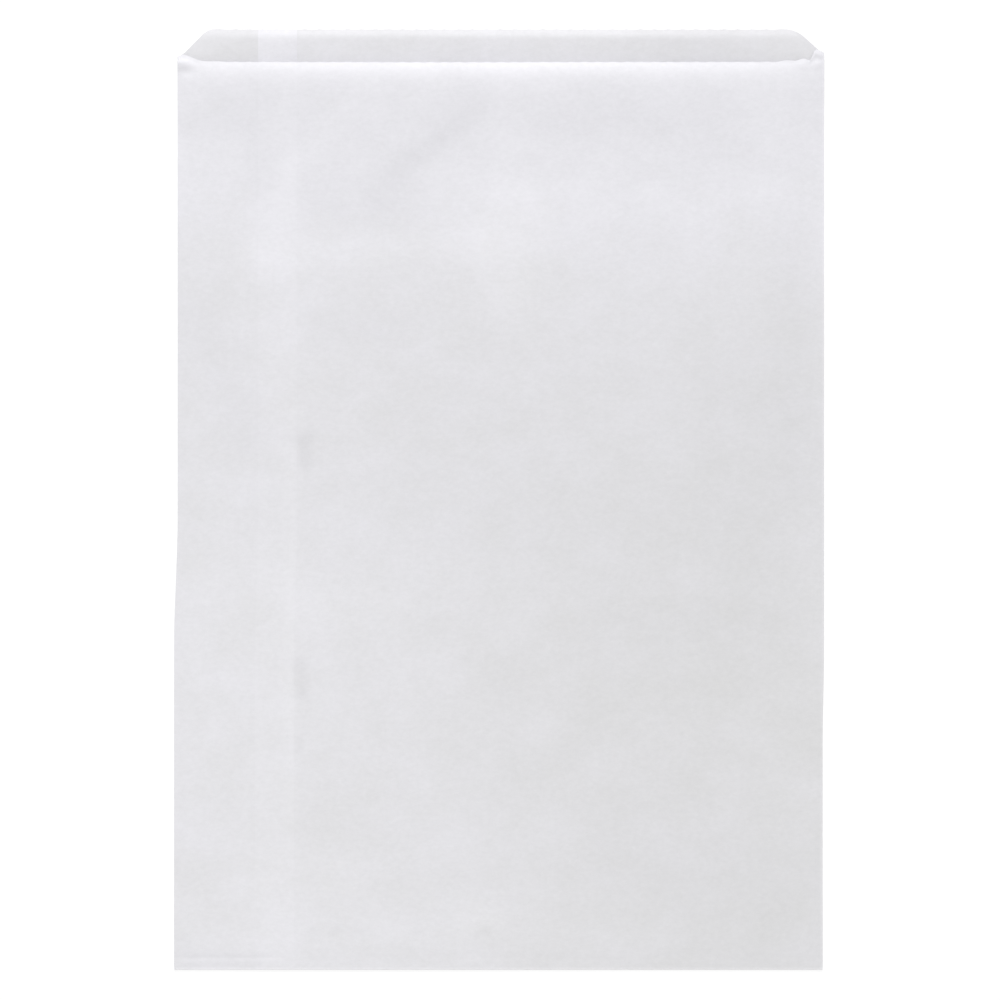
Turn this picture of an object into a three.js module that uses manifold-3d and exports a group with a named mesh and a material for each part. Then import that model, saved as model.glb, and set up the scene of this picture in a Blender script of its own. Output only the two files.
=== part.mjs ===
// A flat white paper bag: one sheet folded into a tube, lapped and glued down its back, cut with a lip at
// the mouth, and closed at the base by turning the end of the tube under and gluing it to the back.
// Millimetres, +Z up. The bag lies on its back: X runs across it, +Y towards the mouth, Z through the layers.
import * as THREE from "three";
import Module from "manifold-3d";

// Finished size
const bagWidth = 250;
const frontHeight = 350; // base fold to the cut edge of the front panel
const lipHeight = 12.5; // how far the back panel stands above the front one
const paper = 0.08; // thickness of the sheet

// Folds, measured to the middle of the paper
const sideFoldRadius = 0.12;
const baseFoldRadius = 0.07; // of the back layer, which is the inner one where the base turns under

// Lap down the back: the layer from the left side fold lies inside, the one from the right outside
const lapWidth = 15;
const lapFromLeft = 31.2; // left side fold to the outer layer's edge
const lapJoggle = 3; // run over which the inner layer comes down to the outer one's level
const lapGlueWidth = 9;
const glueFilm = 0.02;

// Base: the whole end turns under, and the front layer reaches further because one cut ends both layers
const backTurn = 4.2;
const stepHold = 2.4; // the back panel stays up this far past an edge that lies under it
const stepRun = 2.6; // and then comes down over this run
const baseGlueMargin = 1.2; // cut edge of the front layer to its glue
const baseGlueInset = 26; // side fold to the base glue

// Mouth: the lip's corners are cut at a slant and rounded, and a low ear is left at each side fold
const leftSetback = 11.8;
const leftSlantDeg = 45;
const leftRadius = 7;
const leftEar = 3;
const rightSetback = 11;
const rightSlantDeg = 42;
const rightRadius = 12;
const rightEar = 4.5;
const earRun = 6; // the front panel's edge rises to the ear over this run
const toothPitch = 5.4;
const toothDepth = 0.5;

// Loft of the front panel, which stands off the back one and is pressed down to it at the folds
const mouthGape = 8;
const loftStart = 25; // base fold to where the panels part
const loftPower = 1.5; // a higher power keeps more of each side pressed flat
const rimRoll = 12; // the front panel's rim bends back towards the lip over this length
const rimClose = 0.12; // by this share of the gape
const lipCurl = 0.8; // rise of the back panel's mouth end
const curlStart = 8; // from this far below the front panel's edge
const curlOver = 0.7; // share of a full wave, so that the end bends down again past its crest

// Fineness of the faces
const bodyRows = 8;
const bodyColumns = 12;
const cornerColumns = 8;
const mouthRows = 4;
const stepRows = 3;
const turnSteps = 6;
const foldSteps = 5;
const joggleSteps = 3;
const edgeBand = 1; // between a toothed edge and the first plain row
const bite = 0.01; // how far the glue reaches into each layer, so that they become one solid

const { clamp, degToRad, lerp, smoothstep } = THREE.MathUtils;
const wasm = await Module();
wasm.setup();

const layerPitch = 2 * sideFoldRadius; // back layer to front layer where they are pressed together
const lapRise = paper + glueFilm;
const frontTurn = backTurn + lipHeight;
const turnRadius = baseFoldRadius + sideFoldRadius;
const turnLength = Math.PI * turnRadius;
const rightFoldX = bagWidth / 2 - sideFoldRadius - paper / 2;
const leftFoldX = -rightFoldX;
const outerLapX = -bagWidth / 2 + lapFromLeft;
const innerLapX = outerLapX + lapWidth;
const joggleX = outerLapX - paper;
const leftCorner = lipCorner(leftSetback, leftSlantDeg, leftRadius, leftEar);
const rightCorner = lipCorner(rightSetback, rightSlantDeg, rightRadius, rightEar);
const cornerReach = Math.max(leftCorner.arcEnd, rightCorner.arcEnd) + edgeBand;
const toothSpan = rightFoldX - cornerReach;

// The tube's section, stretch by stretch as the sheet runs round it, from the hidden edge of the lap to the
// outer one. Each stretch gives the place across the bag and the rise above the back layer at a distance
// along it, and the distances at which the mesh has a line of points.
function flatStretch(from, to, rise) {
  const direction = Math.sign(to - from);
  const length = Math.abs(to - from);
  return {
    length,
    at: (d) => [from + direction * d, rise],
    stops: (marks) => marks.map((x) => (x - from) * direction).filter((d) => d > edgeBand && d < length - edgeBand),
  };
}

function curvedStretch(length, steps, at) {
  return { length, at, stops: () => Array.from({ length: steps - 1 }, (_, i) => ((i + 1) * length) / steps) };
}

function foldStretch(centre, side) {
  const length = Math.PI * sideFoldRadius;
  return curvedStretch(length, foldSteps, (d) => {
    const angle = (side < 0 ? d : length - d) / sideFoldRadius;
    return [centre + side * sideFoldRadius * Math.sin(angle), sideFoldRadius * (1 - Math.cos(angle))];
  });
}

const innerLap = flatStretch(innerLapX, joggleX, lapRise);
const joggle = curvedStretch(lapJoggle, joggleSteps, (d) => [
  joggleX - d,
  lapRise * (1 - smoothstep(d, 0, lapJoggle)),
]);
const backLeft = flatStretch(joggleX - lapJoggle, leftFoldX, 0);
const leftFold = foldStretch(leftFoldX, -1);
const front = flatStretch(leftFoldX, rightFoldX, layerPitch);
const rightFold = foldStretch(rightFoldX, 1);
const backRight = flatStretch(rightFoldX, outerLapX, 0);
const stretches = [innerLap, joggle, backLeft, leftFold, front, rightFold, backRight];
let sheetWidth = 0;
for (const stretch of stretches) {
  stretch.start = sheetWidth;
  sheetWidth += stretch.length;
}

function section(s) {
  const along = clamp(s, 0, sheetWidth);
  const stretch = stretches.findLast((each) => each.start <= along);
  const [x, rise] = stretch.at(along - stretch.start);
  return { x, rise, stretch };
}

// A corner of the lip: the height of its cut edge above the front panel's, at a distance in from the side
// fold. The edge is the ear, then the slant, then an arc up to the flat top.
function lipCorner(setback, slantDeg, radius, ear) {
  const slant = degToRad(slantDeg);
  const tangent = radius * Math.tan(slant / 2);
  const arcStart = setback - tangent * Math.cos(slant);
  const arcEnd = setback + tangent;
  const height = (fromFold) => {
    if (fromFold >= arcEnd) return lipHeight;
    if (fromFold > arcStart) return lipHeight - radius + Math.sqrt(radius ** 2 - (arcEnd - fromFold) ** 2);
    return Math.max(ear, lipHeight - (setback - fromFold) * Math.tan(slant));
  };
  return { arcEnd, height };
}

function lipAt(x) {
  return Math.min(leftCorner.height(x - leftFoldX), rightCorner.height(rightFoldX - x));
}

// How far the cut stands above the front panel's edge, round the whole section.
function cutHeight({ x, stretch }) {
  if (stretch === leftFold) return leftEar;
  if (stretch === rightFold) return rightEar;
  if (stretch !== front) return lipAt(x);
  const left = leftEar * (1 - smoothstep(x - leftFoldX, 0, earRun));
  const right = rightEar * (1 - smoothstep(rightFoldX - x, 0, earRun));
  return left + right;
}

// The knife's teeth: 0 at a tip, 1 in a gullet, and none at the slanted corners.
function tooth(x) {
  const turn = x / toothPitch;
  return Math.abs(x) > toothSpan ? 0 : 2 * Math.abs(turn - Math.round(turn));
}

// The two cut edges, along the sheet: zero is at the base fold and what turns under is below it.
function mouthEdge(s) {
  const spot = section(s);
  return frontHeight + cutHeight(spot) - toothDepth * tooth(spot.x);
}

function baseEdge(s) {
  const spot = section(s);
  return cutHeight(spot) - toothDepth * tooth(spot.x) - frontTurn - turnLength;
}

// Middle of the back panel's outer layer above the floor: up on the folded base, down on the front layer's
// glued end, on the floor from there on, and curling up a little at the mouth.
function backHeight(x, y) {
  const onStack = layerPitch + 2 * baseFoldRadius;
  const backEnd = frontTurn - lipAt(x);
  const down = smoothstep(y, backEnd + stepHold, backEnd + stepHold + stepRun);
  const off = smoothstep(y, frontTurn + stepHold, frontTurn + stepHold + stepRun);
  const curl = clamp((y - frontHeight + curlStart) / (curlStart + lipHeight), 0, 1);
  return paper / 2 + lerp(onStack, lapRise, down) * (1 - off) + lipCurl * Math.sin(curlOver * Math.PI * curl) ** 2;
}

// How far the front panel stands off the back one, on top of their pitch where they are pressed together.
function loft(x, y) {
  const across = clamp(x / rightFoldX, -1, 1);
  const rim = clamp((y - frontHeight + rimRoll) / rimRoll, 0, 1);
  const gape = mouthGape * smoothstep(y, loftStart, frontHeight) * (1 - rimClose * rim ** 2);
  return gape * (1 - across ** 2) ** loftPower;
}

// A point in the middle of the paper, from its place on the flat sheet: s across it and v along it.
function folded(s, v) {
  const { x, rise, stretch } = section(s);
  if (v >= 0) return new THREE.Vector3(x, v, backHeight(x, v) + rise + (stretch === front ? loft(x, v) : 0));
  const radius = baseFoldRadius + rise;
  const angle = Math.min(-v / turnRadius, Math.PI);
  const beyond = Math.max(-v - turnLength, 0);
  const axis = backHeight(x, 0) - baseFoldRadius;
  return new THREE.Vector3(x, beyond - radius * Math.sin(angle), axis + radius * Math.cos(angle));
}

function outward(s, v) {
  const step = paper / 20;
  const across = folded(s + step, v).sub(folded(s - step, v));
  const along = folded(s, v + step).sub(folded(s, v - step));
  return across.cross(along).normalize();
}

// Folds a patch of the flat sheet, given as points [s, v] and triangles, and gives it a thickness from one
// distance to another outwards from the middle of the paper.
function slab(points, triangles, inner, outer) {
  const vertices = [outer, inner].flatMap((offset) =>
    points.flatMap(([s, v]) => folded(s, v).addScaledVector(outward(s, v), offset).toArray()),
  );
  const below = points.length;
  const faces = triangles.flatMap(([a, b, c]) => [a, b, c, below + a, below + c, below + b]);
  const edges = new Set(triangles.flatMap(([a, b, c]) => [`${a} ${b}`, `${b} ${c}`, `${c} ${a}`]));
  for (const edge of edges) {
    const [a, b] = edge.split(" ").map(Number);
    if (!edges.has(`${b} ${a}`)) faces.push(b, a, below + a, b, below + a, below + b);
  }
  return new wasm.Manifold(
    new wasm.Mesh({ numProp: 3, vertProperties: new Float32Array(vertices), triVerts: new Uint32Array(faces) }),
  );
}

function gridTriangles(columns) {
  return columns.slice(1).flatMap((right, i) =>
    right.slice(1).flatMap((_, j) => [
      [columns[i][j], right[j], right[j + 1]],
      [columns[i][j], right[j + 1], columns[i][j + 1]],
    ]),
  );
}

// Triangles between two rows that have their points at different places across the sheet.
function stripTriangles(lower, upper, points) {
  const triangles = [];
  let i = 0;
  let j = 0;
  while (i < lower.length - 1 || j < upper.length - 1) {
    const nextLower = i < lower.length - 1 ? points[lower[i + 1]][0] : Infinity;
    const nextUpper = j < upper.length - 1 ? points[upper[j + 1]][0] : Infinity;
    if (nextLower <= nextUpper) triangles.push([lower[i], lower[++i], upper[j]]);
    else triangles.push([lower[i], upper[j + 1], upper[j++]]);
  }
  return triangles;
}

function stations(marks) {
  const found = stretches.flatMap((stretch) =>
    [0, ...stretch.stops(marks).sort((a, b) => a - b)].map((d) => stretch.start + d),
  );
  return [...found, sheetWidth];
}

function evenly(from, to, steps) {
  return Array.from({ length: steps }, (_, i) => lerp(from, to, (i + 1) / steps));
}

// Plain rows of points along the sheet: the turned end, the base fold, the steps over it, body and mouth.
function rows(s) {
  const cut = cutHeight(section(s));
  const baseRow = cut + edgeBand - frontTurn - turnLength;
  const mouthRow = frontHeight + cut - toothDepth - edgeBand;
  const stepsStart = backTurn + stepHold;
  const stepsEnd = frontTurn + stepHold;
  const bodyEnd = frontHeight - rimRoll;
  return [
    baseRow,
    ...evenly(baseRow, -turnLength, 2),
    ...evenly(-turnLength, 0, turnSteps),
    stepsStart,
    stepsStart + stepRun,
    ...evenly(stepsStart + stepRun, stepsEnd, stepRows),
    stepsEnd + stepRun,
    ...evenly(stepsEnd + stepRun, bodyEnd, bodyRows),
    ...evenly(bodyEnd, mouthRow, mouthRows),
  ];
}

function sheet() {
  const corners = evenly(0, cornerReach, cornerColumns).flatMap((mark) => [leftFoldX + mark, rightFoldX - mark]);
  const plain = evenly(-toothSpan, toothSpan, bodyColumns).slice(0, -1);
  const toothSteps = Math.floor((2 * toothSpan) / toothPitch);
  const teeth = Array.from({ length: 2 * toothSteps + 1 }, (_, i) => ((i - toothSteps) * toothPitch) / 2);
  const edgeStations = stations([...corners, ...teeth.filter((x) => Math.abs(x) < toothSpan - edgeBand)]);
  const points = [];
  const add = (s, v) => points.push([s, v]) - 1;
  const columns = stations([...corners, ...plain]).map((s) => rows(s).map((v) => add(s, v)));
  const base = edgeStations.map((s) => add(s, baseEdge(s)));
  const mouth = edgeStations.map((s) => add(s, mouthEdge(s)));
  const first = columns.map((column) => column[0]);
  const last = columns.map((column) => column.at(-1));
  const triangles = [
    ...gridTriangles(columns),
    ...stripTriangles(base, first, points),
    ...stripTriangles(last, mouth, points),
  ];
  return slab(points, triangles, -paper / 2, paper / 2);
}

// A film of glue on one face of the sheet, over a grid of places on it.
function glue(across, along, inner, outer) {
  const points = across.flatMap((s) => along.map((v) => [s, v]));
  const columns = across.map((_, i) => along.map((_, j) => i * along.length + j));
  return slab(points, gridTriangles(columns), inner, outer);
}

function lapGlue() {
  const middle = innerLap.start + lapWidth / 2;
  const across = [middle - lapGlueWidth / 2, middle + lapGlueWidth / 2];
  const along = rows(middle).filter((v) => v >= 0);
  return glue(across, along, paper / 2 - bite, paper / 2 + glueFilm + bite);
}

function baseGlue() {
  const across = [front.start + baseGlueInset, front.start + front.length - baseGlueInset];
  const along = [frontTurn - baseGlueMargin, backTurn + stepHold + stepRun].map((run) => -turnLength - run);
  return glue(across, along, -paper / 2 - glueFilm - bite, -paper / 2 + bite);
}

function bag() {
  const solid = sheet().add(lapGlue()).add(baseGlue());
  const { vertProperties, triVerts } = solid.getMesh();
  const geometry = new THREE.BufferGeometry();
  geometry.setAttribute("position", new THREE.BufferAttribute(vertProperties, 3));
  geometry.setIndex(new THREE.BufferAttribute(triVerts, 1));
  geometry.computeVertexNormals();
  return geometry;
}

const whitePaper = new THREE.MeshStandardMaterial({ color: 0xe4e3e8, roughness: 0.85, metalness: 0 });

const paperBag = new THREE.Mesh(bag(), whitePaper);
paperBag.name = "paper_bag";
const box = new THREE.Box3().setFromObject(paperBag, true);
paperBag.position.set(0, -(box.min.y + box.max.y) / 2, -box.min.z);

const group = new THREE.Group();
group.add(paperBag);
export default group;
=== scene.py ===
# A flat white paper bag, lying on its back under a camera that looks straight down on it.
# Metres, in the frame of the CAD model: X across the bag, +Y towards the mouth, Z up through the layers.
import math

import bpy
import numpy as np
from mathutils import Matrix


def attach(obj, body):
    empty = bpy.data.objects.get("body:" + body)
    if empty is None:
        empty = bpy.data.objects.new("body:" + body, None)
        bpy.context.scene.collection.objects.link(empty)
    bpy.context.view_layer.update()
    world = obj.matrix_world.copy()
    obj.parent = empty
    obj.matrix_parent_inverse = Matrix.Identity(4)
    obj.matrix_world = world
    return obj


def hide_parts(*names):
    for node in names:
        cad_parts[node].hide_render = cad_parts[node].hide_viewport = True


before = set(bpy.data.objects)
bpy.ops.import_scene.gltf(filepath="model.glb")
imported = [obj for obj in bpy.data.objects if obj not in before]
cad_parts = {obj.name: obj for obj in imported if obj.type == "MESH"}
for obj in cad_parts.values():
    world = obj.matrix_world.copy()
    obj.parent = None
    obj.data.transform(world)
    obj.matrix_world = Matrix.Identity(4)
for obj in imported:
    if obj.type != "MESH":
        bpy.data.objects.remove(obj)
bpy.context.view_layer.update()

# The camera hangs over the bag, far enough back that the raised mouth is hardly nearer than the base.
# It stands a hair off the middle, as the bag does in its picture.
CAMERA_HEIGHT = 2.2
CAMERA_RIGHT = 0.00025
CAMERA_DOWN = 0.00023
VIEW_WIDTH = 0.3858  # width of the picture at the floor
SENSOR = 36

camera_data = bpy.data.cameras.new("camera")
camera_data.sensor_width = SENSOR
camera_data.lens = SENSOR * CAMERA_HEIGHT / VIEW_WIDTH
camera = bpy.data.objects.new("camera", camera_data)
camera.location = (CAMERA_RIGHT, -CAMERA_DOWN, CAMERA_HEIGHT)
bpy.context.scene.collection.objects.link(camera)
bpy.context.scene.camera = camera

# The bag is one sheet of thin white machine-made paper. It is folded into a flat tube and glued down a lap
# in its back, cut by a toothed knife to a lip at the mouth, and closed by turning its end under and gluing
# it. Its blank is drawn flat here, and a tree of nodes folds it, parts its mouth and lets the paper cockle.
MM = 0.001
BAG_WIDTH = 250 * MM
FRONT_HEIGHT = 350 * MM
LIP_HEIGHT = 12.5 * MM
PAPER = 0.08 * MM
SIDE_FOLD_RADIUS = 0.1 * MM
BASE_FOLD_RADIUS = 0.05 * MM

LAP_WIDTH = 15 * MM
LAP_FROM_LEFT = 31.2 * MM
LAP_JOGGLE = 3 * MM
LAP_RISE = PAPER + 0.02 * MM  # the sheet and its film of glue

BACK_TURN = 4.2 * MM
FRONT_TURN = BACK_TURN + LIP_HEIGHT
STEP_HOLD = 2.4 * MM
STEP_RUN = 16 * MM

TOOTH_PITCH = 5.4 * MM
TOOTH_DEPTH = 0.3 * MM
EDGE_BAND = 1 * MM  # from the last plain row to a toothed edge
TOOTH_POINTS = 6
SIDE_FOLD_POINTS = 7
JOGGLE_POINTS = 6

LAYER_PITCH = 2 * SIDE_FOLD_RADIUS
TURN_RADIUS = BASE_FOLD_RADIUS + SIDE_FOLD_RADIUS
TURN_LENGTH = math.pi * TURN_RADIUS
FOLD_X = BAG_WIDTH / 2 - SIDE_FOLD_RADIUS - PAPER / 2
LAP_OUTER_X = -BAG_WIDTH / 2 + LAP_FROM_LEFT
LAP_INNER_X = LAP_OUTER_X + LAP_WIDTH
JOGGLE_X = LAP_OUTER_X - PAPER


def smoothstep(value, low, high):
    share = np.clip((value - low) / (high - low), 0, 1)
    return share * share * (3 - 2 * share)


def spaced(start, end, pitch):
    """Places from start to end, about a pitch apart, without the last one."""
    steps = max(round(abs(end - start) / pitch), 1)
    return np.linspace(start, end, steps + 1)[:-1]


class Stretch:
    """A run of the sheet's width: where it lies across the bag and how far it rises above the back layer."""

    def __init__(self, places, across, rise=0.0):
        self.places = places
        self.across = across
        self.rise = np.broadcast_to(rise, places.shape)


def flat_stretch(marks, rise=0.0):
    marks = np.asarray(marks)
    return Stretch(np.abs(marks - marks[0]), marks, rise)


def side_fold(side):
    """A half circle, up from the back layer at the left side and down to it again at the right one."""
    ends = (0, math.pi) if side < 0 else (math.pi, 0)
    angle = np.linspace(*ends, SIDE_FOLD_POINTS)
    run = np.linspace(0, math.pi * SIDE_FOLD_RADIUS, SIDE_FOLD_POINTS)
    across = side * FOLD_X + side * SIDE_FOLD_RADIUS * np.sin(angle)
    return Stretch(run, across, SIDE_FOLD_RADIUS * (1 - np.cos(angle)))


def joggle():
    """The sheet comes down here from the lap, where it lies on its own other end."""
    run = np.linspace(0, LAP_JOGGLE, JOGGLE_POINTS)
    return Stretch(run, JOGGLE_X - run, LAP_RISE * (1 - smoothstep(run, 0, LAP_JOGGLE)))


# The front panel's columns are close together by the side folds and over the lap's edges, which press
# through it.
def marks_between(stops, pitches):
    runs = [spaced(a, b, pitch) for a, b, pitch in zip(stops, stops[1:], pitches)]
    return np.concatenate([*runs, [stops[-1]]])


front_marks = marks_between(
    [-FOLD_X, -FOLD_X + 4 * MM, LAP_OUTER_X - 2 * MM, LAP_OUTER_X + 2 * MM, LAP_INNER_X - 2 * MM,
     LAP_INNER_X + 5 * MM, FOLD_X - 4 * MM, FOLD_X],
    [0.8 * MM, 1.9 * MM, 0.8 * MM, 1.8 * MM, 0.7 * MM, 2.0 * MM, 0.8 * MM],
)
stretches = [
    flat_stretch(marks_between([LAP_INNER_X, JOGGLE_X], [3 * MM]), LAP_RISE),
    joggle(),
    flat_stretch(marks_between([JOGGLE_X - LAP_JOGGLE, -FOLD_X + 2 * MM, -FOLD_X], [3.2 * MM, 1 * MM])),
    side_fold(-1),
    flat_stretch(front_marks, LAYER_PITCH),
    side_fold(1),
    flat_stretch(marks_between([FOLD_X, FOLD_X - 2 * MM, LAP_OUTER_X], [1 * MM, 3.3 * MM])),
]
LEFT_FOLD = 3  # places in the list of stretches
FRONT_PANEL = 4
RIGHT_FOLD = 5
starts = np.cumsum([0] + [stretch.places[-1] for stretch in stretches])
sheet_width = starts[-1]
FRONT_START = starts[FRONT_PANEL]

column_s = np.concatenate(
    [start + stretch.places[:-1] for start, stretch in zip(starts, stretches)] + [[sheet_width]]
)


def section(s):
    """Place across the bag, rise and number of the stretch, for distances round the sheet."""
    table_s = np.concatenate([start + stretch.places for start, stretch in zip(starts, stretches)])
    order = np.maximum.accumulate(table_s + np.arange(table_s.size) * 1e-12)
    across = np.interp(s, order, np.concatenate([stretch.across for stretch in stretches]))
    rise = np.interp(s, order, np.concatenate([stretch.rise for stretch in stretches]))
    which = np.clip(np.searchsorted(starts, s, side="right") - 1, 0, len(stretches) - 1)
    return across, rise, which


def corner_height(from_fold, setback, slant_degrees, radius, ear):
    """The cut edge of a corner of the lip: an ear at the fold, a slant, and an arc up to the flat top."""
    slant = math.radians(slant_degrees)
    tangent = radius * math.tan(slant / 2)
    arc_start = setback - tangent * math.cos(slant)
    arc_end = setback + tangent
    arc = LIP_HEIGHT - radius + np.sqrt(np.maximum(radius**2 - (arc_end - from_fold) ** 2, 0))
    line = np.maximum(ear, LIP_HEIGHT - (setback - from_fold) * math.tan(slant))
    return np.where(from_fold >= arc_end, LIP_HEIGHT, np.where(from_fold > arc_start, arc, line))


LEFT_CORNER = dict(setback=11.8 * MM, slant_degrees=45, radius=7 * MM, ear=3 * MM)
RIGHT_CORNER = dict(setback=11 * MM, slant_degrees=42, radius=12 * MM, ear=4.5 * MM)
LEFT_EAR_RUN = 11 * MM
RIGHT_EAR_START = 3.2 * MM
RIGHT_EAR_END = 5.4 * MM
EAR_ROUNDING = 1.1 * MM
EAR_ROUND_REACH = 1.5 * MM
RIM_WAVES = [  # in from the right fold, half width, height
    (7.8 * MM, 2.2 * MM, 1.1 * MM),
    (14 * MM, 2.5 * MM, 0.5 * MM),
]
CORNER_REACH = 17 * MM  # the knife's teeth start this far in from the folds


def hump(value, middle, half_width):
    return np.exp(-(((value - middle) / half_width) ** 2))


def rounding(x):
    return EAR_ROUNDING * hump(FOLD_X - np.abs(x), 0, EAR_ROUND_REACH)


def lip_at(x):
    left = corner_height(x + FOLD_X, **LEFT_CORNER)
    return np.minimum(left, corner_height(FOLD_X - x, **RIGHT_CORNER)) - rounding(x)


def cut_height(x, which):
    """How far the cut stands above the front panel's edge, round the whole section."""
    from_right = FOLD_X - x
    on_front = LEFT_CORNER["ear"] * (1 - smoothstep(x + FOLD_X, 0, LEFT_EAR_RUN))
    on_front = on_front + RIGHT_CORNER["ear"] * (1 - smoothstep(from_right, RIGHT_EAR_START, RIGHT_EAR_END))
    waves = sum(height * hump(from_right, at, half) for at, half, height in RIM_WAVES)
    on_front = on_front - rounding(x) + waves
    places = [which == FRONT_PANEL, which == LEFT_FOLD, which == RIGHT_FOLD]
    choices = [on_front, LEFT_CORNER["ear"] - EAR_ROUNDING, RIGHT_CORNER["ear"] - EAR_ROUNDING]
    return np.select(places, choices, lip_at(x))


# The blank: plain rows of points between the two cut edges, and a zipped strip out to each toothed edge.
RIM_FROM = 343 * MM
ROW_BANDS = [  # from, to, pitch
    (-TURN_LENGTH, 0, TURN_LENGTH / 8),
    (0, 7 * MM, 0.5 * MM),
    (7 * MM, 22 * MM, 1.25 * MM),
    (22 * MM, 328 * MM, 2.4 * MM),
    (328 * MM, RIM_FROM, 1.7 * MM),
]
TURNED_ROWS = 7
RIM_ROWS = 11
RIM_CROWDING = 1.6  # above 1, the rows draw closer together towards the cut
TOOTH_STEP = TOOTH_PITCH / TOOTH_POINTS
SIDE_FOLD_STEP = 0.1 * MM


def plain_rows(cut):
    base_row = cut + EDGE_BAND - FRONT_TURN - TURN_LENGTH
    mouth_row = FRONT_HEIGHT + cut - TOOTH_DEPTH - EDGE_BAND
    turned = np.linspace(base_row, -TURN_LENGTH, TURNED_ROWS)[:-1]
    rim = RIM_FROM + (mouth_row - RIM_FROM) * (1 - np.linspace(1, 0, RIM_ROWS) ** RIM_CROWDING)
    return np.concatenate([turned, *[spaced(*each) for each in ROW_BANDS], rim])


def edge_step(stretch):
    return SIDE_FOLD_STEP if stretch in (stretches[LEFT_FOLD], stretches[RIGHT_FOLD]) else TOOTH_STEP


column_x, _, column_which = section(column_s)
rows = np.array([plain_rows(cut) for cut in cut_height(column_x, column_which)])
edge_s = np.concatenate([
    start + spaced(0, stretch.places[-1], edge_step(stretch)) for start, stretch in zip(starts, stretches)
] + [[sheet_width]])
edge_x, _, edge_which = section(edge_s)
edge_cut = cut_height(edge_x, edge_which)
body_count = rows.size
row_count = rows.shape[1]
base_edge = np.arange(edge_s.size) + body_count
mouth_edge = base_edge + edge_s.size
flat_s = np.concatenate([np.repeat(column_s, row_count), edge_s, edge_s])
flat_v = np.concatenate([rows.ravel(), edge_cut - FRONT_TURN - TURN_LENGTH, FRONT_HEIGHT + edge_cut])
grid = np.arange(body_count).reshape(rows.shape)
quads = np.stack([grid[:-1, :-1], grid[1:, :-1], grid[1:, 1:], grid[:-1, 1:]], axis=-1).reshape(-1, 4)


def zipped(lower, upper):
    """Triangles between two rows that have their points at different places across the sheet."""
    faces = []
    i = j = 0
    while i < len(lower) - 1 or j < len(upper) - 1:
        next_lower = flat_s[lower[i + 1]] if i < len(lower) - 1 else math.inf
        next_upper = flat_s[upper[j + 1]] if j < len(upper) - 1 else math.inf
        if next_lower <= next_upper:
            faces.append((lower[i], lower[i + 1], upper[j]))
            i += 1
        else:
            faces.append((lower[i], upper[j + 1], upper[j]))
            j += 1
    return faces


faces = [*quads.tolist(), *zipped(base_edge, grid[:, 0]), *zipped(grid[:, -1], mouth_edge)]
faces = [[int(corner) for corner in face] for face in faces]
points = np.column_stack([flat_s, flat_v, np.zeros_like(flat_s)]).tolist()
blank = bpy.data.meshes.new("paper_bag_blank")
blank.from_pydata(points, [], faces)
sheet_map = blank.uv_layers.new(name="sheet")
corner_vertex = np.empty(len(blank.loops), dtype=np.int32)
blank.loops.foreach_get("vertex_index", corner_vertex)
sheet_map.uv.foreach_set("vector", np.column_stack([flat_s, flat_v])[corner_vertex].ravel())

# Marks of making and handling on the front panel, in millimetres across from the middle and up from the
# base fold: dents by the lap where its glue has drawn the paper in, which widen towards the mouth, and soft
# creases. A crease with a depth below 0 is a ridge.
flat_x, flat_rise, flat_which = section(flat_s)
on_front = (flat_which == FRONT_PANEL).astype(float)
DENTS = [  # across, up, half width, half length, depth
    (-77.0, 197.5, 2.2, 7.0, 0.10),
    (-77.6, 111.0, 2.0, 7.0, 0.09),
    (-77.6, 88.0, 1.4, 4.0, 0.05),
]
CREASES = [  # from across, up, to across, up, half width, depth
    (-42, 304, -6, 328, 4.5, 0.11),
    (120.0, 22.5, 124.4, 29.5, 0.8, -0.05),
]
relief = np.zeros_like(flat_x)
x_mm = flat_x / MM
v_mm = flat_v / MM


def away_from_line(x0, v0, x1, v1):
    """How far each point of the sheet lies from the line between two places, in millimetres."""
    span = (x1 - x0) ** 2 + (v1 - v0) ** 2
    share_along = np.clip(((x_mm - x0) * (x1 - x0) + (v_mm - v0) * (v1 - v0)) / span, 0, 1)
    return np.hypot(x_mm - x0 - share_along * (x1 - x0), v_mm - v0 - share_along * (v1 - v0))


for across, up, half_width, half_length, depth in DENTS:
    along = (v_mm - up) / half_length
    wedge = half_width * np.clip(0.6 + 0.5 * along, 0.15, 1.2)
    relief -= depth * hump(x_mm, across, wedge) * np.exp(-(along**4))
for *ends, half_width, depth in CREASES:
    relief -= depth * hump(away_from_line(*ends), 0, half_width)

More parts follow.
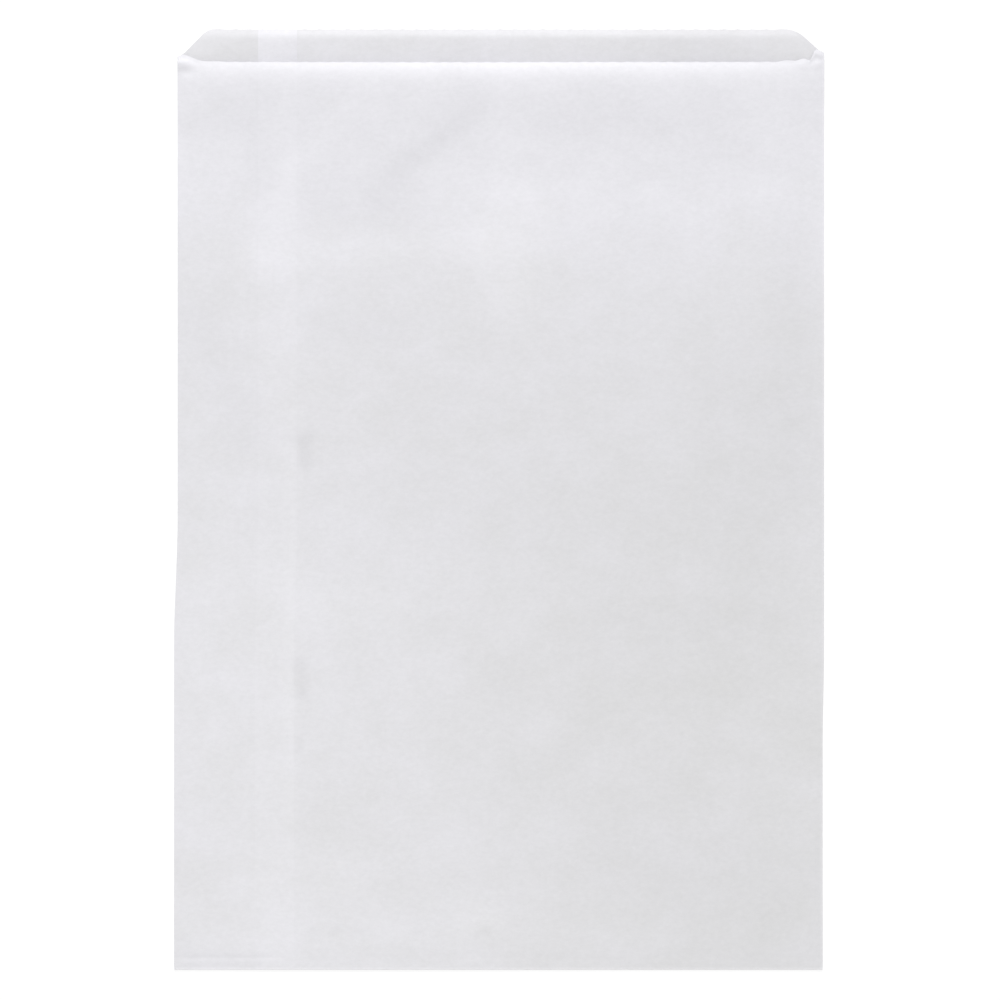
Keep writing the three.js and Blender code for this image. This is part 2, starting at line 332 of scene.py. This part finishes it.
# Soft clouds in the sheet, places where glue has darkened it, and painted shade along a crease and along the
# groove and fold at the base: from across, up, to across, up, the half width across the mark and how much
# lighter or darker it is.
CLOUDS = [
    (-94, 345, -94, 303, 9, -0.020),
    (-81, 308, -61, 331, 5.5, 0.028),
    # painted shade along the soft crease near the mouth
    (-48, 299, -11, 331, 6.5, -0.034),
    (-66, 297, -42, 297, 12, -0.034),
    (-94, 276, -8, 281, 8, 0.030),
    (4, 292, 4, 266, 15, 0.045),
    (-68, 247, -40, 247, 8, -0.020),
    (-116, 250, -99, 206, 12, -0.030),
    (112, 285, 115, 190, 11, -0.026),
    # painted shade along the groove above the base fold, and just above the base fold itself
    (-119, 5.4, -90, 5.2, 1.8, -0.026),
    (-120, 1.5, -92, 1.5, 1.1, -0.032),
    (-80.7, 215, -80, 60, 3, 0.020),
    (-70, 139, -45, 139, 10, 0.015),
    (-95, 39, -60, 39, 10, 0.015),
    (-12, 20, -2, 19, 5, 0.028),
    (92, 230, 98, 160, 22, -0.020),
    (50, 134, 105, 132, 18, -0.018),
    (55, 40, 110, 28, 26, -0.020),
    (-81.5, 205.5, -73.8, 205.5, 2.5, -0.034),
    (-76.2, 203, -75.6, 195, 2.8, -0.052),
    (-76.8, 118, -75.8, 106, 2.8, -0.055),
    (-77.2, 89, -77.4, 84, 1.8, -0.045),
    *[(x, 14.4, x + 2.5, 14.8, 1.5, -0.030) for x in (-72, -64, -55, -33.5, -6.5)],
]
shading = np.zeros_like(flat_x)
for *ends, half_width, change in CLOUDS:
    shading += change * hump(away_from_line(*ends), 0, half_width)

# Each corner of the mouth has crumpled as the bag was opened, in low ridges across its ear. A height below 0
# is a hollow beside them.
EAR_RIDGES = [  # across, up, half width, half length towards the base and towards the mouth, height
    (-122.6, 349.5, 3.8, 2.7, 1.5, 0.66),
    (-121.9, 346.0, 2.2, 1.5, 1.5, -0.28),
    (122.4, 349.2, 1.8, 1.2, 0.9, 0.42),
    (120.9, 352.7, 1.4, 1.2, 1.0, 0.42),
    (123.6, 352.6, 0.9, 1.5, 1.0, 0.36),
    (116.6, 349.2, 3.0, 1.8, 1.5, 0.34),
]
for across, up, half_width, below, beyond, height in EAR_RIDGES:
    half_length = np.where(v_mm < up, below, beyond)
    relief += height * hump(x_mm, across, half_width) * hump(v_mm, up, half_length)

# The turned base presses a groove into the front panel, deepest at the left, just above the base fold.
GROOVE_UP = 4.3
GROOVE_HALF = 0.7
GROOVE_DEPTH = 0.05
groove_share = 0.25 + 0.75 * (1 - smoothstep(x_mm, -92, -80))
relief -= GROOVE_DEPTH * groove_share * hump(v_mm, GROOVE_UP, GROOVE_HALF)

# The lap's thickness presses through to the front as a step a few hundredths of a millimetre high.
LAP_PRINT = 0.05
lap_print = smoothstep(x_mm, LAP_OUTER_X / MM - 1.5, LAP_OUTER_X / MM + 1.5)
lap_print = lap_print * (1 - smoothstep(x_mm, LAP_INNER_X / MM - 0.4, LAP_INNER_X / MM + 0.9))
relief += LAP_PRINT * lap_print

has_teeth = np.zeros_like(flat_s)
has_teeth[body_count:] = np.abs(flat_x[body_count:]) < FOLD_X - CORNER_REACH
for name, values in {
    "across": flat_x,
    "rise": flat_rise,
    "front": on_front,
    "lip": lip_at(flat_x),
    "relief": relief * MM * on_front,
    "teeth": has_teeth,
    "shading": shading * on_front,
}.items():
    layer = blank.attributes.new(name, "FLOAT", "POINT")
    layer.data.foreach_set("value", values.astype(np.float32))


class Field:
    """A number that a tree of nodes works out at each point, so that a formula reads as it is written."""

    def __init__(self, tree, socket):
        self.tree = tree
        self.socket = socket

    def math(self, operation, *others):
        node = self.tree.nodes.new("ShaderNodeMath")
        node.operation = operation
        for place, value in zip(node.inputs, (self, *others)):
            feed(self.tree, place, value)
        return Field(self.tree, node.outputs[0])

    def __add__(self, other):
        return self.math("ADD", other)

    def __sub__(self, other):
        return self.math("SUBTRACT", other)

    def __mul__(self, other):
        return self.math("MULTIPLY", other)

    def __truediv__(self, other):
        return self.math("DIVIDE", other)

    def __pow__(self, other):
        return self.math("POWER", other)

    def clamp(self, low=0.0, high=1.0):
        return self.math("MAXIMUM", low).math("MINIMUM", high)

    def smooth(self, low, high):
        """Smoothly from 0 at low to 1 at high."""
        node = self.tree.nodes.new("ShaderNodeMapRange")
        node.interpolation_type = "SMOOTHSTEP"
        for name, value in {"Value": self, "From Min": low, "From Max": high}.items():
            feed(self.tree, node.inputs[name], value)
        return Field(self.tree, node.outputs["Result"])


def feed(tree, socket, value):
    """Links a field to a socket, or sets a plain number on it."""
    if isinstance(value, Field):
        tree.links.new(value.socket, socket)
    elif isinstance(value, bpy.types.NodeSocket):
        tree.links.new(value, socket)
    else:
        socket.default_value = value


def noise(tree, place, scale, detail, roughness, seed, stretch=(1, 1, 1)):
    """Noise about zero at a place, which is moved by a fixed seed so that no two uses are alike."""
    shift = tree.nodes.new("ShaderNodeVectorMath")
    shift.operation = "MULTIPLY_ADD"
    shift.inputs[1].default_value = [scale * each for each in stretch]
    shift.inputs[2].default_value = (seed * 3.7, seed * 1.9, seed * 0.7)
    tree.links.new(place, shift.inputs[0])
    node = tree.nodes.new("ShaderNodeTexNoise")
    node.inputs["Scale"].default_value = 1
    node.inputs["Detail"].default_value = detail
    node.inputs["Roughness"].default_value = roughness
    tree.links.new(shift.outputs["Vector"], node.inputs["Vector"])
    return (Field(tree, node.outputs[0]) - 0.5) * 2


SEED = 7
sizes = {
    "Front height": FRONT_HEIGHT,
    "Lip height": LIP_HEIGHT,
    "Paper": PAPER,
    "Mouth gape": 6.7 * MM,
    "Loft start": 25 * MM,
    "Rim length": 15 * MM,
    "Rim shoulder": 1.2 * MM,
    "Rim drop": 1.85 * MM,
    "Rim edge length": 1.1 * MM,
    "Rim edge lift": 0.16 * MM,
    "Draw back": 0.6 * MM,
    "Lip rise": 0.8 * MM,
    "Rise length": 30 * MM,
    "Lip edge length": 2.8 * MM,
    "Lip edge drop": 0.58 * MM,
    "Tooth pitch": TOOTH_PITCH,
    "Tooth depth": TOOTH_DEPTH,
    "Lift": 0.35 * MM,
    "Swell": 0.6 * MM,
    "Cockle": 0.12 * MM,
    "Seed": SEED,
}
fold_tree = bpy.data.node_groups.new("fold_paper_bag", "GeometryNodeTree")
fold_tree.interface.new_socket("Geometry", in_out="OUTPUT", socket_type="NodeSocketGeometry")
fold_tree.interface.new_socket("Geometry", in_out="INPUT", socket_type="NodeSocketGeometry")
identifiers = {}
for name, value in sizes.items():
    kind = "NodeSocketInt" if name == "Seed" else "NodeSocketFloat"
    socket = fold_tree.interface.new_socket(name, in_out="INPUT", socket_type=kind)
    socket.default_value = value
    identifiers[name] = socket.identifier
fold_tree.interface.new_socket("Material", in_out="INPUT", socket_type="NodeSocketMaterial")
identifiers["Material"] = fold_tree.interface.items_tree["Material"].identifier
group_in = fold_tree.nodes.new("NodeGroupInput")


def size(name):
    return Field(fold_tree, group_in.outputs[name])


def attribute(name):
    node = fold_tree.nodes.new("GeometryNodeInputNamedAttribute")
    node.data_type = "FLOAT"
    node.inputs["Name"].default_value = name
    return Field(fold_tree, node.outputs["Attribute"])


def combine(x, y, z):
    node = fold_tree.nodes.new("ShaderNodeCombineXYZ")
    for place, value in zip(node.inputs, (x, y, z)):
        feed(fold_tree, place, value)
    return node.outputs["Vector"]


position = fold_tree.nodes.new("GeometryNodeInputPosition")
split = fold_tree.nodes.new("ShaderNodeSeparateXYZ")
fold_tree.links.new(position.outputs["Position"], split.inputs["Vector"])
across = attribute("across")
rise = attribute("rise")
front = attribute("front")

# Where a cut edge has teeth, its points step back from the tips.
turn = across / size("Tooth pitch")
wave = (turn * math.pi).math("SINE").math("ABSOLUTE") ** 0.8
run = Field(fold_tree, split.outputs["Y"]) - attribute("teeth") * size("Tooth depth") * wave

# The turned end goes round the base fold and back along the underside.
up = run.math("MAXIMUM", 0.0)
under = (run * -1).math("MAXIMUM", 0.0)
angle = (under / TURN_RADIUS).math("MINIMUM", math.pi)
beyond = (under - TURN_LENGTH).math("MAXIMUM", 0.0)
radius = rise + BASE_FOLD_RADIUS

# The back panel lies on the folded base and comes down from it in two steps. It rises a little towards the
# mouth, and the cut edge of its lip droops.
back_end = attribute("lip") * -1 + FRONT_TURN + STEP_HOLD
down = up.smooth(back_end, back_end + STEP_RUN)
off = up.smooth(FRONT_TURN + STEP_HOLD, FRONT_TURN + STEP_HOLD + STEP_RUN)
on_stack = LAYER_PITCH + 2 * BASE_FOLD_RADIUS
stack = (down * (LAP_RISE - on_stack) + on_stack) * (off * -1 + 1)
above = up - size("Front height")
crest = above.smooth(size("Rise length") * -1, 0.0) * size("Lip rise")
tip = ((above - size("Lip height") + size("Lip edge length")) / size("Lip edge length")).clamp()
lip_edge = tip**1.05 * size("Lip edge drop")
floor_gap = stack + size("Paper") / 2 + crest - lip_edge

# The front panel stands off the back one in a belly that ends at the side folds. Near the mouth a low
# shoulder lifts it over almost its whole width. Its rim rolls over, and its cut edge turns up a little.
SHOULDER_START = 50 * MM  # both are measured down from the front panel's edge
SHOULDER_FULL = 10 * MM
SHOULDER_SQUARENESS = 24
BELLY_ROUNDNESS = 1.5
RIM_ROLL = 4.4
RIM_FREE_AT = 1.2 * MM  # a rim that stands this far up rolls over by half
share = (across / FOLD_X).clamp(-1, 1)
bulge = (share * share * -1 + 1).math("MAXIMUM", 0.0) ** BELLY_ROUNDNESS
belly = up.smooth(size("Loft start"), size("Front height")) * size("Mouth gape") * bulge * front
near_rim = up.smooth(size("Front height") - SHOULDER_START, size("Front height") - SHOULDER_FULL)
shoulder = (share**SHOULDER_SQUARENESS * -1 + 1) * near_rim * size("Rim shoulder") * front
loft = belly + shoulder
rim = ((above + size("Rim length")) / size("Rim length")).clamp()
rim_edge = ((above + size("Rim edge length")) / size("Rim edge length")).clamp()
free_rim = loft / (loft + RIM_FREE_AT)
rim_drop = (rim**RIM_ROLL * size("Rim drop") - rim_edge**2 * size("Rim edge lift")) * free_rim


def side_pull(start, end, change, at_base):
    """How far a side stands to the right: at_base to the left of 0 below start, and change more past end."""
    return up.smooth(start, end) * change - at_base


# The whole bag lifts a little here and there off the floor, and its sides are not quite straight. They stand
# a little to the left in the lower half and to the right in the upper half, most of all the left side.
flat_place = combine(across, up, 0.0)
lift = noise(fold_tree, flat_place, scale=9, detail=1, roughness=0.4, seed=SEED) + 0.15
lift = lift.math("MAXIMUM", 0.0) * size("Lift")
left_pull = side_pull(125 * MM, 175 * MM, 1.37 * MM, 0.47 * MM)
right_pull = side_pull(85 * MM, 125 * MM, 0.57 * MM, 0.3 * MM)
pull = left_pull * (share * -0.5 + 0.5) + right_pull * (share * 0.5 + 0.5)

middle = (FRONT_HEIGHT + LIP_HEIGHT - BASE_FOLD_RADIUS - LAYER_PITCH - PAPER / 2) / 2
draw_back = belly / size("Mouth gape") * size("Draw back")
y = up + beyond - radius * angle.math("SINE") - draw_back - middle
z = floor_gap - BASE_FOLD_RADIUS + radius * angle.math("COSINE")
z = z + loft - rim_drop + attribute("relief") + lift
folded = fold_tree.nodes.new("GeometryNodeSetPosition")
fold_tree.links.new(group_in.outputs["Geometry"], folded.inputs["Geometry"])
fold_tree.links.new(combine(across + pull, y, z), folded.inputs["Position"])

# Long swells and short cockles of the front panel, held back where it is pressed to the layer below.
FREE_AT = 1 * MM  # a panel that stands this far up is half free
free = loft / (loft + FREE_AT)
long_waves = noise(fold_tree, flat_place, scale=13, detail=1.5, roughness=0.45, seed=SEED + 1)
swell = long_waves * size("Swell") * free
give = (free * 0.75 + 0.25) * front
short_waves = noise(
    fold_tree, flat_place, scale=42, detail=2.5, roughness=0.5, seed=SEED + 2, stretch=(1, 0.7, 1)
)
cockle = short_waves * size("Cockle") * give
normal = fold_tree.nodes.new("GeometryNodeInputNormal")
offset = fold_tree.nodes.new("ShaderNodeVectorMath")
offset.operation = "SCALE"
fold_tree.links.new(normal.outputs["Normal"], offset.inputs[0])
fold_tree.links.new((swell + cockle).socket, offset.inputs["Scale"])
cockled = fold_tree.nodes.new("GeometryNodeSetPosition")
fold_tree.links.new(folded.outputs["Geometry"], cockled.inputs["Geometry"])
fold_tree.links.new(offset.outputs["Vector"], cockled.inputs["Offset"])

realize = fold_tree.nodes.new("GeometryNodeRealizeInstances")
set_material = fold_tree.nodes.new("GeometryNodeSetMaterial")
group_out = fold_tree.nodes.new("NodeGroupOutput")
fold_tree.links.new(cockled.outputs["Geometry"], realize.inputs["Geometry"])
fold_tree.links.new(realize.outputs["Geometry"], set_material.inputs["Geometry"])
fold_tree.links.new(group_in.outputs["Material"], set_material.inputs["Material"])
fold_tree.links.new(set_material.outputs["Geometry"], group_out.inputs["Geometry"])

# Thin white paper: a cloudy sheet with a faint cool tint, a little brighter where layers lie on each other,
# and fine fibres on its face. Its patterns lie on the sheet itself, so they go round the folds with it.
white_paper = bpy.data.materials.new("white_paper")
white_paper.use_nodes = True
paper_tree = white_paper.node_tree
shader = paper_tree.nodes["Principled BSDF"]
uv = paper_tree.nodes.new("ShaderNodeUVMap")
uv.uv_map = "sheet"
uv_split = paper_tree.nodes.new("ShaderNodeSeparateXYZ")
paper_tree.links.new(uv.outputs["UV"], uv_split.inputs["Vector"])
s = Field(paper_tree, uv_split.outputs["X"])
v = Field(paper_tree, uv_split.outputs["Y"])
EDGE = 0.15 * MM


def band(value, low, high):
    """1 between low and high, 0 outside, with a crisp edge."""
    return value.smooth(low - EDGE, low + EDGE) * (value.smooth(high - EDGE, high + EDGE) * -1 + 1)


front_x = s - (FRONT_START + FOLD_X)
is_front = band(s, FRONT_START, FRONT_START + 2 * FOLD_X)
lap_front = band(front_x, LAP_OUTER_X, LAP_INNER_X) * is_front
lap_back = (band(s, 0, LAP_WIDTH) + band(s, sheet_width - LAP_WIDTH, sheet_width)).clamp()
single = v.smooth(FRONT_HEIGHT - EDGE, FRONT_HEIGHT + EDGE) * (is_front * -1 + 1) * (lap_back * -1 + 1)
layers = single * -0.035 + lap_front * 0.012 + lap_back * 0.02 + 1

sheet_place = uv.outputs["UV"]
formation = noise(
    paper_tree, sheet_place, scale=520, detail=4, roughness=0.75, seed=11, stretch=(0.85, 1.15, 1)
)
patches = noise(paper_tree, sheet_place, scale=55, detail=4, roughness=0.6, seed=12, stretch=(1, 1.3, 1))
clouds = noise(paper_tree, sheet_place, scale=17, detail=2, roughness=0.5, seed=13)
shade = formation * 0.075 + patches * 0.05 + clouds * 0.035 + 1

# The lower right of the panel is a little greyer than the rest, in painted shade. Its top is the brightest
# and its lower part a little lighter, in painted light, and painted light makes the base fold and the
# right side fold a little lighter. Painted light brightens the middle of the lip, and painted shade
# darkens it to its ends.
object_place = paper_tree.nodes.new("ShaderNodeTexCoord")
place_split = paper_tree.nodes.new("ShaderNodeSeparateXYZ")
paper_tree.links.new(object_place.outputs["Object"], place_split.inputs["Vector"])
height = Field(paper_tree, place_split.outputs["Y"])
side = Field(paper_tree, place_split.outputs["X"])
# painted shade on the lower right of the panel, and painted light on its top and on its lower part
low = height.smooth(-100 * MM, 150 * MM) * -1 + 1
right = side.smooth(-110 * MM, 100 * MM)
painted_shade_lower_right = low * right
top = height.smooth(70 * MM, 145 * MM)
painted_light_foot = height.smooth(-40 * MM, -5 * MM) * -1 + 1
marks = paper_tree.nodes.new("ShaderNodeAttribute")
marks.attribute_name = "shading"
shading_field = Field(paper_tree, marks.outputs["Fac"])
# painted light along the base fold and along the right side fold
base_fold_light = v.smooth(-0.2 * MM, 0.8 * MM) * -0.16 + 0.16
right_fold_light = (front_x - FOLD_X).math("ABSOLUTE").smooth(0.0, 0.9 * MM) * -0.06 + 0.06
painted_fold_light = base_fold_light * v.smooth(-1 * MM, -0.6 * MM) + right_fold_light
by_place = low * 0.01 - painted_shade_lower_right * 0.07 + top * 0.055 + painted_light_foot * 0.02
# painted light in the middle of the lip, and painted shade towards its ends
right_end = side.smooth(30 * MM, 90 * MM)
left_end = side.smooth(-100 * MM, -60 * MM) * -1 + 1
lip_light_and_shade = single * (right_end * -0.06 - left_end * 0.035 + 0.02)
tone = shade * layers * (by_place + painted_fold_light + shading_field + lip_light_and_shade + 0.982)
tint = (clouds * 0.3 + patches * 0.4 + 0.72 - low * 0.1 - painted_shade_lower_right * 0.4 + top * 0.4 - single * 0.55).clamp()
COOL = (0.777, 0.7715, 0.808)
NEUTRAL = (0.774, 0.772, 0.780)
mix = paper_tree.nodes.new("ShaderNodeMix")
mix.data_type = "RGBA"
mix.inputs[6].default_value = (*NEUTRAL, 1)
mix.inputs[7].default_value = (*COOL, 1)
paper_tree.links.new(tint.socket, mix.inputs[0])
colour = paper_tree.nodes.new("ShaderNodeVectorMath")
colour.operation = "SCALE"
paper_tree.links.new(mix.outputs[2], colour.inputs[0])
paper_tree.links.new(tone.socket, colour.inputs["Scale"])
paper_tree.links.new(colour.outputs["Vector"], shader.inputs["Base Color"])
paper_tree.links.new((patches * 0.06 + 0.8).socket, shader.inputs["Roughness"])
shader.inputs["Specular IOR Level"].default_value = 0.3
fibres = noise(paper_tree, sheet_place, scale=2600, detail=3, roughness=0.6, seed=14, stretch=(1, 0.35, 1))
fibres = fibres + formation * 0.8
bump = paper_tree.nodes.new("ShaderNodeBump")
bump.inputs["Strength"].default_value = 0.12
bump.inputs["Distance"].default_value = 0.02 * MM
paper_tree.links.new(fibres.socket, bump.inputs["Height"])
paper_tree.links.new(bump.outputs["Normal"], shader.inputs["Normal"])

blank_bag = bpy.data.objects.new("paper_bag_blank", blank)
bpy.context.scene.collection.objects.link(blank_bag)
fold = blank_bag.modifiers.new("fold", "NODES")
fold.node_group = fold_tree
for name, value in sizes.items():
    fold[identifiers[name]] = value
fold[identifiers["Material"]] = white_paper
thickness = blank_bag.modifiers.new("thickness", "SOLIDIFY")
thickness.thickness = PAPER
thickness.offset = 0
folded_mesh = bpy.data.meshes.new_from_object(blank_bag.evaluated_get(bpy.context.evaluated_depsgraph_get()))
bpy.data.objects.remove(blank_bag)
folded_mesh.name = "paper_bag_sheet"
for name in ("across", "rise", "front", "lip", "relief", "teeth"):
    folded_mesh.attributes.remove(folded_mesh.attributes[name])
folded_mesh.shade_smooth()
folded_mesh.set_sharp_from_angle(angle=math.radians(50))
paper_bag = bpy.data.objects.new("paper_bag_sheet", folded_mesh)
bpy.context.scene.collection.objects.link(paper_bag)
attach(paper_bag, "root")
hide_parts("paper_bag")

# The floor is a plain white ground. The camera sees it glow pure white with the bag's faint shadow on it, and
# the bag is lit by a matte white that reflects the light.
FLOOR_HALF = 6
FLOOR_Z = -0.01 * MM
SQUARE = [(-1, -1), (1, -1), (1, 1), (-1, 1)]
floor_mesh = bpy.data.meshes.new("floor")
floor_points = [(x * FLOOR_HALF, y * FLOOR_HALF, FLOOR_Z) for x, y in SQUARE]
floor_mesh.from_pydata(floor_points, [], [(0, 1, 2, 3)])
floor = bpy.data.objects.new("floor", floor_mesh)
bpy.context.scene.collection.objects.link(floor)
ground = bpy.data.materials.new("white_ground")
ground.use_nodes = True
ground_tree = ground.node_tree
ground_tree.nodes.clear()


def seen_directly(tree):
    """1 for rays from the camera, and for those that mirrors and glass pass on from it."""
    path = tree.nodes.new("ShaderNodeLightPath")
    camera_ray = Field(tree, path.outputs["Is Camera Ray"])
    glossy_ray = Field(tree, path.outputs["Is Glossy Ray"])
    passed_ray = Field(tree, path.outputs["Is Transmission Ray"])
    return (camera_ray + glossy_ray + passed_ray).clamp()


matte = ground_tree.nodes.new("ShaderNodeBsdfDiffuse")
matte.inputs["Color"].default_value = (0.9, 0.9, 0.9, 1)
faint = ground_tree.nodes.new("ShaderNodeBsdfDiffuse")
faint.inputs["Color"].default_value = (0.25, 0.25, 0.25, 1)
glow = ground_tree.nodes.new("ShaderNodeEmission")
glow.inputs["Strength"].default_value = 0.8
both = ground_tree.nodes.new("ShaderNodeAddShader")
choose = ground_tree.nodes.new("ShaderNodeMixShader")
ground_out = ground_tree.nodes.new("ShaderNodeOutputMaterial")
ground_tree.links.new(faint.outputs[0], both.inputs[0])
ground_tree.links.new(glow.outputs[0], both.inputs[1])
ground_tree.links.new(seen_directly(ground_tree).socket, choose.inputs[0])
ground_tree.links.new(matte.outputs[0], choose.inputs[1])
ground_tree.links.new(both.outputs[0], choose.inputs[2])
ground_tree.links.new(choose.outputs[0], ground_out.inputs["Surface"])
floor_mesh.materials.append(ground)

# Part of the light comes evenly from all round, and most of the rest from a soft lamp beyond the mouth. A
# weak one beyond the base lightens the base fold.
world = bpy.data.worlds.new("white_studio")
bpy.context.scene.world = world
world.use_nodes = True
world_tree = world.node_tree
background = world_tree.nodes["Background"]
background.inputs["Color"].default_value = (1, 1, 1, 1)
AMBIENT = 0.5
strength = seen_directly(world_tree) * (1 - AMBIENT) + AMBIENT
world_tree.links.new(strength.socket, background.inputs["Strength"])

LAMPS = {  # distance, elevation and azimuth from +X in degrees, width, watts
    "lamp": (7.0, 30, 95, 2.3, 458),
    "fill": (5.0, 14, -90, 2.0, 50),
}
for name, (distance, elevation, azimuth, width, watts) in LAMPS.items():
    lamp_data = bpy.data.lights.new(name, "AREA")
    lamp_data.size = width
    lamp_data.energy = watts
    lamp = bpy.data.objects.new(name, lamp_data)
    reach = distance * math.cos(math.radians(elevation))
    lamp.location = (
        reach * math.cos(math.radians(azimuth)),
        reach * math.sin(math.radians(azimuth)),
        distance * math.sin(math.radians(elevation)),
    )
    lamp.rotation_euler = lamp.location.to_track_quat("Z", "Y").to_euler()
    bpy.context.scene.collection.objects.link(lamp)

bpy.context.scene.view_settings.view_transform = "Standard"
